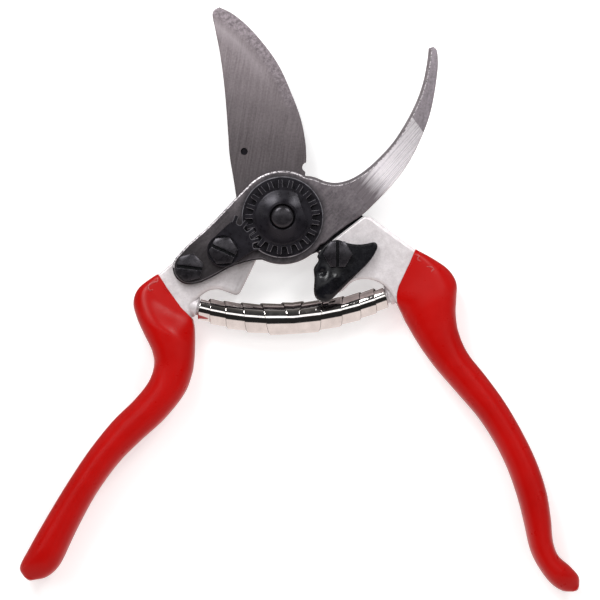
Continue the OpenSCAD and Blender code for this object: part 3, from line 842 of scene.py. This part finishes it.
def cutting_blade():
    back = tagged("back", spline(BLADE_BACK, 5))
    edge = tagged("edge", spline(BLADE_EDGE, 6)[1:-1])
    notch = tagged("notch", arc((8, 16.4), 1.6, 101, 248, 12))
    ring = tagged("ring", arc((0, 0), HEAD_R - 0.1, 61, -194, 96))
    top = {"back": rounded(0.3), "edge": rounded(0.15), "notch": rounded(0.2), "ring": rounded(0.2)}
    under = {"back": rounded(0.35), "edge": lambda p: chamfered(0.5 + 5 * smoothstep((69 - p.y) / 16), 2.7),
             "notch": rounded(0.25), "ring": rounded(0.25)}
    parts = [BLADE, HONED, BLACK]
    body = plate("cutting_blade_plate", back + edge + notch + ring, BLADE_Z, BLADE_TOP, top, under, parts,
                 soften=2, paint={"edge": (1, 1, 0, 0, 0, 0)})
    # a black ledge closes the gap beside the shoulder of the right handle; its black is painted shadow
    heel = [(0.5, -9.0), (9.5, -8.4), (15.6, -5.5), (24.6, 1.2), (26.3, 0.5), (16.7, -7.0), (12.4, -10.6),
            (6, -13.6)]
    boolean(body, prism("heel", heel, BLADE_Z + 0.02, BLADE_TOP - 0.02, parts, 2), "UNION")
    # the blind mark's inside takes the black: painted shade in the dimple
    mark = [(0, BLADE_TOP - 1.1), (0.9, BLADE_TOP - 1.1), (1.15, BLADE_TOP - 0.8), (1.2, BLADE_TOP + 2),
            (0, BLADE_TOP + 2)]
    boolean(body, lathe("mark", mark, (-12.5, 21.5), parts, 40, paint=2))
    place(body, "blade_side", "blade_steel", "cutting_blade")


def counter_blade():
    loop = tagged("outer", spline(HOOK_OUTER, 5))
    loop += tagged("low_ring", arc((0, 0), HEAD_R, -36, -112, 30))
    under_tang = [(-6.6, -13.75), (-9.2, -13.9), (-12.6, -14.7), (-17, -16.2), (-22.2, -19.1),
                  (-26.4, -21.1)]
    loop += tagged("low_tang", spline(under_tang, 4))
    loop += tagged("low_tang", arc(TANG_SCREW, 5.5, -76, -180, 20))
    loop += tagged("tang", arc(TANG_SCREW, 5.5, -185, -227, 8))
    loop += tagged("tang", [(-30.6, -8.8), (-27.5, -6.1), (-24.4, -3.4), (-21.0, 0.0), (-17.6, 3.6),
                            (-14.2, 7.2)])
    loop += tagged("ring", arc((0, 0), HEAD_R, 140, 64, 26))
    loop += tagged("inner", spline(HOOK_INNER, 5))
    top = {"outer": rounded(0.35), "low_ring": rounded(0.5), "ring": rounded(0.7, 0.5),
           "tang": rounded(0.55, 0.45), "low_tang": lipped(0.5, 0.5, 0.16),
           "inner": lipped(0.85, 0.8, 0.26)}
    under = {tag: rounded(0.35) for tag in top}
    # material numbers: 0 steel, 3 chamfer, 4 painted edge highlight with speckled wear, 5 black
    # the black walls of the ring and tang and the black rows along their lower edges are painted shade
    paint = {"outer": (0, 0, 0, 0, 0, 0), "low_ring": (5, 5, 5, 0, 0, 0), "ring": (5, 5, 0, 4, 4, 4),
             "tang": (5, 5, 0, 4, 4, 4), "low_tang": (5, 5, 5, 5, 5, 3), "inner": (3, 3, 3, 3, 3, 4)}
    bm = plate("hook", loop, HOOK_Z, HOOK_TOP, top, under, [], soften=2, paint=paint, raw=True)
    for start, end in (FACET_LINE, GROUND_LINE):
        a, b = Vector((*start, 0)), Vector((*end, 0))
        side = (b - a).cross(Vector((0, 0, 1))).normalized()
        bmesh.ops.bisect_plane(bm, geom=bm.verts[:] + bm.edges[:] + bm.faces[:], plane_co=a, plane_no=side,
                               dist=1e-4)
    for f in bm.faces:
        f.normal_update()
        if f.material_index == 0 and f.normal.z > 0.5 and f.calc_center_median().x > 16:
            f.material_index = hook_zone(f.calc_center_median())
    body = to_object("counter_blade_plate", bm, [HOOK, GROUND, FACET, CHAMFER, EDGE_HIGHLIGHT_AND_WEAR, BLACK])
    place(body, "hook_side", "hook_steel", "counter_blade")


def hook_zone(p):
    """0 for plain steel, 1 for the freshly ground stretch, 2 for the tip's facet."""
    def left_of(a, b):
        return (b[0] - a[0]) * (p.y - a[1]) - (b[1] - a[1]) * (p.x - a[0]) > 0
    if left_of(*FACET_LINE):
        return 2
    return 1 if left_of(*GROUND_LINE) else 0


def wheel_outline(centre, tip, root, turn, start=0, end=360, tip_share=0.34, root_share=0.46):
    """Toothed wheel, or a sector of one, with flat tips, eased flanks and rounded roots; flanks are tagged
    so that a painted highlight can be laid on them.
    """
    shape = ((-0.92, root, "root"), (-root_share - 0.1, root + 0.12, "flank"),
             (-root_share, root + 0.4, "flank"), (-tip_share - 0.05, tip - 0.25, "flank"),
             (-tip_share + 0.06, tip, "tip"), (tip_share - 0.06, tip, "flank"),
             (tip_share + 0.05, tip - 0.25, "flank"), (root_share, root + 0.4, "flank"),
             (root_share + 0.1, root + 0.12, "root"), (0.92, root, "root"))
    points = []
    for k in range(-NUT_TEETH, NUT_TEETH):
        for share, radius, tag in shape:
            a = 360 * (k + share / 2) / NUT_TEETH + turn % (360 / NUT_TEETH)
            if start <= a < end:
                points += tagged(tag, arc(centre, radius, a, a, 1)[:1])
    return points


def adjusting_nut():
    edge = {"tip": chamfered(0.2, 0.2), "root": chamfered(0.2, 0.2), "flank": chamfered(0.12, 0.12)}
    wheel = wheel_outline((0, 0), TOOTH_TIP_R, NUT_ROOT_R, NUT_TURN)
    # the flanks take the lighter black: painted highlight
    body = plate("adjusting_nut_body", wheel, NUT_Z, NUT_TOP, edge, edge, [BLACK, BLACK_EDGE_HIGHLIGHT], soften=0,
                 paint={"flank": (0, 1, 1, 1, 1, 1)})
    slope, r, z = [(9.0, NUT_TOP - 1), (9.0, NUT_TOP + 0.05), (8.85, NUT_TOP + 0.2)], 8.65, NUT_TOP + 0.28
    while r > 4.5:
        slope.append((r, z))
        r, z = r - 0.3, z + 0.3 * math.tan(math.radians(15 + 3.4 * (8.65 - r)))
    rim = [(4.35, HUB_TOP - 0.06), (4.15, HUB_TOP - 0.2), (4.05, HUB_TOP - 1.4), (0, HUB_TOP - 1.4)]
    hub = lathe("hub", [(0, NUT_TOP - 1)] + slope + rim, (0, 0), [BLACK], 128, sharp=50)
    boolean(hub, prism("flat", flat_cut(19.3, 6.95), NUT_TOP + 0.12, HUB_TOP + 3))
    bevelled(hub, 0.1, 2, 40)
    boolean(body, hub, "UNION")
    place(body, "hook_side", "black_steel", "adjusting_nut")


def flat_cut(angle, distance):
    """Large block whose face is square to an angle and that far from the pivot."""
    a = math.radians(angle)
    n, t = Vector((math.cos(a), math.sin(a))), Vector((-math.sin(a), math.cos(a)))
    return [n * distance - t * 20, n * 30 - t * 20, n * 30 + t * 20, n * distance + t * 20]


def nut_washer():
    profile = [(0, HOOK_TOP), (13.0, HOOK_TOP), (13.2, HOOK_TOP + 0.15), (13.2, HOOK_TOP + 0.4),
               (12.9, HOOK_TOP + 0.6), (0, HOOK_TOP + 0.6)]
    body = lathe("nut_washer_disc", profile, (0, 0), [BLACK, BLACK_EDGE_HIGHLIGHT], 128)
    # the washer's chamfer takes the lighter black: painted highlight
    for f in body.data.polygons:
        f.material_index = 1 if 0.3 < f.normal.z < 0.98 else 0
    place(body, "hook_side", "black_steel", "nut_washer")


def pivot_bolt():
    dome = [(3.5 * math.cos(math.radians(a)), HUB_TOP + 0.15 + 0.95 * math.sin(math.radians(a)))
            for a in range(0, 90, 15)]
    profile = [(0, 0), (7.4, 0), (8.0, 0.25), (8.2, 0.7), (8.2, 1.7), (8.0, 1.94), (5.0, 1.94),
               (5.0, HOOK_Z), (3.9, HOOK_Z), (3.9, HUB_TOP - 1.2),
               (3.55, HUB_TOP - 0.6)] + dome + [(0, HUB_TOP + 1.1)]
    body = lathe("pivot_bolt_turned", profile, (0, 0), [SCREW], 96)
    place(body, "hook_side", "black_steel", "pivot_bolt")


def segment_turn():
    """A tooth of the segment points where the nut, turning the other way, has a gap."""
    line = math.degrees(math.atan2(-SEGMENT_SCREW[1], -SEGMENT_SCREW[0]))
    return 2 * line + 180 + 180 / NUT_TEETH - NUT_TURN


def toothed_segment():
    """Sector of a second wheel about its own screw, with a round end."""
    c = Vector(SEGMENT_SCREW)
    loop = tagged("side", arc(c, 9.2, -2, -2, 1)[:1])
    loop += wheel_outline(c, TOOTH_TIP_R, SEGMENT_ROOT_R, segment_turn(), -1.6, 77)
    loop += tagged("side", arc(c, 9.2, 77, 77, 1)[:1] + arc(c, 5.25, 139, 296, 40))
    edge = {tag: chamfered(0.22, 0.22) for tag in ("side", "tip", "root", "flank")}
    # the flanks and part of the roots take the lighter black: painted highlight
    body = plate("toothed_segment_plate", loop, NUT_Z, NUT_TOP, edge, edge, [BLACK, BLACK_EDGE_HIGHLIGHT], soften=0,
                 paint={"flank": (1, 1, 1, 1, 1, 1), "root": (0, 0, 1, 1, 1, 0)})
    recess = [(0, NUT_TOP - 0.9), (4.95, NUT_TOP - 0.9), (5.0, NUT_TOP + 3), (0, NUT_TOP + 3)]
    boolean(body, lathe("recess", recess, SEGMENT_SCREW, [BLACK], 96))
    place(body, "hook_side", "black_steel", "toothed_segment")


def hex_screw(name, at, level, shank, slot_turn, hex_turn, body, node):
    """Screw with a low domed six-sided head and a wide slot."""
    h, reach = 2.3, 5.4
    dome = [(r, level + 0.6 + (h - 0.6) * math.sqrt(1 - (r / reach) ** 2))
            for r in (5.2, 4.9, 4.6, 4.2, 3.7, 3.0, 2.2, 1.1)]
    profile = [(0, level - shank), (2.0, level - shank), (2.3, level - shank + 0.4), (2.3, level),
               (5.2, level)]
    head = lathe("head", profile + dome + [(0, level + h)], at, [SCREW, SCREW_EDGE_HIGHLIGHT, CATCH], 96, sharp=50)
    boolean(head, prism("hex", polygon_points(at, 4.72, 6, hex_turn), level - shank - 1, level + h + 1),
            "INTERSECT")
    # the slot's faces take the darkest black: painted shade in the slot
    slot = prism("slot", bar_points(at, 12, 1.15, slot_turn), level + h - 1.5, level + h + 2,
                 [SCREW, SCREW_EDGE_HIGHLIGHT, CATCH], 2)
    boolean(head, slot)
    # the broken edges take the lighter black: painted highlight
    bevelled(head, 0.17, 2, 30, paint=1)
    head.name = name
    place(head, body, "black_steel", node)


def screws():
    hex_screw("tang_screw_head", TANG_SCREW, HOOK_TOP, 10, -7, 14, "hook_side", "tang_screw")
    hex_screw("segment_screw_head", SEGMENT_SCREW, NUT_TOP - 0.9, 12, -25, 3, "hook_side", "segment_screw")
    hex_screw("catch_screw_head", CATCH_SCREW, CATCH_TOP + 0.1, 11, 90, 0, "blade_side", "catch_screw")


def thumb_catch():
    """Lever with a horn, and a soft swelling for the thumb on its lower lobe."""
    outline = spline(CATCH_OUTLINE, 4, closed=True)
    tags = [(p, "pad" if p.y < -15.5 and p.x < 23 else "flat") for p in outline]
    top = {"flat": rounded(0.5), "pad": rounded(1.3, 1.1)}
    under = {"flat": rounded(0.3), "pad": rounded(0.4)}
    body = plate("thumb_catch_lever", tags, CATCH_Z, CATCH_TOP, top, under, [CATCH], soften=4)
    body.modifiers.clear()
    m = body.modifiers.new("even", "REMESH")
    m.mode, m.voxel_size = "VOXEL", 0.2 * MM
    baked(body, 60)
    for v in body.data.vertices:
        x, y, z = v.co / MM
        share = smoothstep((z - CATCH_Z - 1) / (CATCH_T - 1.2))
        v.co.z += MM * share * catch_swell(x, y)
    m = body.modifiers.new("soften", "SMOOTH")
    m.iterations, m.factor = 4, 0.5
    baked(body, 60)
    body.modifiers.clear()
    place(body, "catch", "catch_black", "thumb_catch")


def catch_swell(x, y):
    """Height of the thumb pad and of the crest above it, in mm."""
    def hill(cx, cy, long, wide, lean, height):
        a = math.radians(lean)
        u = (x - cx) * math.cos(a) + (y - cy) * math.sin(a)
        w = -(x - cx) * math.sin(a) + (y - cy) * math.cos(a)
        return height * math.exp(-(u / long) ** 2 - (w / wide) ** 2)
    pad = hill(14.5, -21.6, 4.4, 2.6, 68, 1.35) - hill(12.9, -17.9, 1.1, 0.9, 40, 0.7)
    return pad + hill(17.0, -19.6, 1.1, 0.8, 20, 0.3) + hill(14.6, -24.9, 0.9, 0.7, 0, 0.25)


def strip_reach(n):
    """How far from the middle the strip's outer edge is after n turns, in mm."""
    if n < 0:
        return SPRING_MID_HALF + 7 * n
    return SPRING_MID_HALF + SPRING_ARM * (1 - max(1 - n / SPRING_HALF_TURNS, 0) ** 1.35)


def strip_section(n):
    """Cross-section of the strip after n turns, as (distance from the middle, radius) points."""
    r = SPRING_MID_R - (SPRING_MID_R - SPRING_END_R) * n / SPRING_HALF_TURNS
    far = strip_reach(n)
    near = far - STRIP_W if n > SPRING_JOINED_TURNS else 0
    return [(near, r - 0.1), (far - 0.25, r + 0.1), (far - 0.12, r + 0.09), (far, r + 0.03),
            (far, r - STRIP_T), (near, r - 0.1 - STRIP_T)]


def volute_spring():
    """Steel strip that leaves the middle both ways at once in turns that dive under each other."""
    steps = 72
    count = round((SPRING_HALF_TURNS - SPRING_FIRST_TURN) * steps)
    chord = SPRING_B - SPRING_A
    radius = bow_radius()
    half = radius * math.asin(chord.length / 2 / radius)
    centre = (SPRING_A + SPRING_B) / 2 + Vector((-chord.y, chord.x)).normalized() * (radius - SPRING_BOW)

    def point(u, out, up):
        a = spring_angle(0.5 + u / half / 2)
        return (centre.x + (radius + out) * math.sin(a), centre.y - (radius + out) * math.cos(a),
                SPRING_Z + up)

    bm = bmesh.new()
    for side in (-1, 1):
        made = []
        for k in range(count + 1):
            n = SPRING_FIRST_TURN + k / steps
            c, s = -math.cos(2 * math.pi * n), -math.sin(2 * math.pi * n)
            section = strip_section(n)
            made.append(([bm.verts.new(point(side * u, q * c, q * s)) for u, q in section], section[0][0]))
        for (a, _), (b, beyond) in zip(made, made[1:]):
            for j in range(len(a)):
                if j == len(a) - 1 and beyond <= 0:
                    continue
                f = bm.faces.new((a[j], a[(j + 1) % len(a)], b[(j + 1) % len(a)], b[j]))
                # the strip's edge faces take the dark copy: painted shade at the seams
                f.material_index = 1 if j in (2, 3) else 0
        bm.faces.new(made[0][0])
        bm.faces.new(made[-1][0][::-1])
    body = to_object("volute_spring_strip", bm, [CHROME, SPRING_SEAM_SHADE], 40)
    body.modifiers.clear()
    place(body, "spring", "spring_chrome", "volute_spring")
    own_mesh(body)


def small_hardware():
    """Pieces that stay as they are in CAD and only get their metal."""
    for node, material in (("pivot_bush", BRONZE), ("thrust_washer", BRONZE), ("blade_rivets", ZINC),
                           ("catch_bush", ZINC), ("catch_washer", ZINC), ("shock_absorber", RUBBER)):
        obj = frame["nodes"][node]
        obj.data.materials.clear()
        obj.data.materials.append(material)


# -------- stage
def stage():
    bm = bmesh.new()
    bmesh.ops.create_grid(bm, x_segments=2, y_segments=2, size=1.6)
    mesh = bpy.data.meshes.new("floor")
    bm.to_mesh(mesh)
    bm.free()
    card = Finish("floor", (0.76, 0.76, 0.76), 0, 0.9)
    card.shader.inputs["Emission Color"].default_value = (1, 1, 1, 1)
    card.shader.inputs["Emission Strength"].default_value = 0.45
    mesh.materials.append(card.material)
    floor = bpy.data.objects.new("floor", mesh)
    floor.visible_glossy = False
    floor.location.z = -FLOOR_GAP * MM
    show(floor)


def area_light(name, at, size, watts, glossy=True):
    """Soft rectangular light aimed at the pivot."""
    data = bpy.data.lights.new(name, "AREA")
    data.shape, data.size, data.size_y, data.energy = "RECTANGLE", size[0], size[1], watts
    light = bpy.data.objects.new(name, data)
    light.location = at
    light.rotation_mode = "QUATERNION"
    light.rotation_quaternion = (-Vector(at)).to_track_quat("-Z", "Y")
    light.visible_glossy = glossy
    show(light)


def world():
    """Surroundings that change with the tilt from straight up: front side light, back side dim."""
    w = bpy.data.worlds.new("studio")
    bpy.context.scene.world = w
    w.use_nodes = True
    tree = w.node_tree
    link = tree.links.new
    direction = tree.nodes.new("ShaderNodeTexCoord")
    split = tree.nodes.new("ShaderNodeSeparateXYZ")
    tilt = tree.nodes.new("ShaderNodeMath")
    tilt.operation = "ARCTAN2"
    share = tree.nodes.new("ShaderNodeMapRange")
    share.inputs["From Min"].default_value, share.inputs["From Max"].default_value = -math.pi, math.pi
    ramp = tree.nodes.new("ShaderNodeValToRGB")
    link(direction.outputs["Generated"], split.inputs[0])
    link(split.outputs["Y"], tilt.inputs[0])
    link(split.outputs["Z"], tilt.inputs[1])
    link(tilt.outputs[0], share.inputs["Value"])
    link(share.outputs["Result"], ramp.inputs["Fac"])
    link(ramp.outputs["Color"], tree.nodes["Background"].inputs["Color"])
    front, dim = (0.92, 0.83, 0.80), (0.10, 0.095, 0.09)
    stops = ((-180, front), (-38, front), (-34, (0.02, 0.02, 0.02)), (6, (0.02, 0.02, 0.02)),
             (9, (1.8, 1.8, 1.8)), (19, (1.8, 1.8, 1.8)), (23, (0.03, 0.03, 0.03)),
             (46, (0.05, 0.05, 0.05)), (60, dim), (72, (0.3, 0.29, 0.29)), (120, (0.13, 0.115, 0.11)),
             (168, (0.16, 0.14, 0.13)), (180, front))
    while len(ramp.color_ramp.elements) < len(stops):
        ramp.color_ramp.elements.new(0.5)
    for element, (degrees, colour) in zip(ramp.color_ramp.elements, stops):
        element.position, element.color = (degrees + 180) / 360, (*colour, 1)


def lights():
    """Two broad lights that the steel doesn't mirror, and two smaller ones that it does."""
    area_light("key", (-0.3, 0.3, 0.9), (0.6, 0.5), 1.36, glossy=False)
    area_light("fill", (0.35, -0.4, 0.9), (0.7, 0.5), 1.74, glossy=False)
    area_light("box_left", (-0.25, 0.43, 0.5), (0.26, 0.22), 2.6)
    area_light("box_right", (0.30, 0.40, 0.5), (0.17, 0.24), 1.6)


def camera():
    data = bpy.data.cameras.new("camera")
    data.lens, data.sensor_width = 166.0, 36.0
    obj = bpy.data.objects.new("camera", data)
    obj.location = (0.00566, -0.0268, 0.91)
    show(obj)
    bpy.context.scene.camera = obj


def main():
    bpy.context.scene.view_settings.view_transform = "Standard"
    stage()
    world()
    lights()
    camera()
    grips()
    left_handle()
    right_handle()
    cutting_blade()
    counter_blade()
    adjusting_nut()
    nut_washer()
    pivot_bolt()
    toothed_segment()
    screws()
    thumb_catch()
    volute_spring()
    small_hardware()


main()
